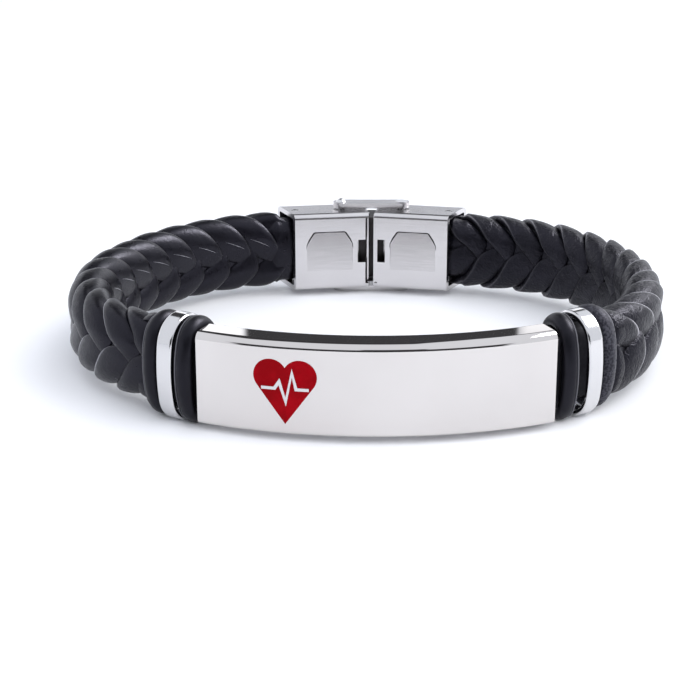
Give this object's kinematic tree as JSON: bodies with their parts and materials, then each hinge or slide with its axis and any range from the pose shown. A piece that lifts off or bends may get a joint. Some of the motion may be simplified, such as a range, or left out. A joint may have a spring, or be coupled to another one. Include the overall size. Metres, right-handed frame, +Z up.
{
  "type": "braided leather identity bracelet",
  "caption": "Fastened wrist band of braided leather with a curved steel identity plate, rubber and steel rings beside it and a steel box clasp behind.",
  "frame": {"origin": "middle of the loop's bounding box, on the surface that the bracelet stands on", "axes": "+Z up along the band's width, -Y towards the identity plate, +X to the right when looking at the plate's face"},
  "size_m": [0.0818, 0.0674, 0.0145],
  "materials": {
    "polished_steel": "polished stainless steel",
    "satin_steel": "stamped stainless sheet with a soft satin sheen",
    "leather": "smooth black leather with a low sheen",
    "rubber": "black rubber, slightly glossy",
    "enamel": "glossy red enamel"
  },
  "bodies": {
    "root": {"id_plate": "polished_steel", "emblem_enamel": "enamel", "plate_strap": "leather", "left_stop_ring": "rubber", "right_stop_ring": "rubber", "left_steel_ring": "polished_steel", "right_steel_ring": "polished_steel", "left_end_ring": "rubber", "right_end_ring": "rubber", "left_braid": "leather", "right_braid": "leather", "clasp_left": "satin_steel", "clasp_right": "satin_steel", "top_link": "satin_steel", "bottom_link": "satin_steel", "top_left_rivet": "satin_steel", "top_right_rivet": "satin_steel", "bottom_left_rivet": "satin_steel", "bottom_right_rivet": "satin_steel", "left_strap_pin": "satin_steel", "right_strap_pin": "satin_steel"}
  },
  "joints": []
}
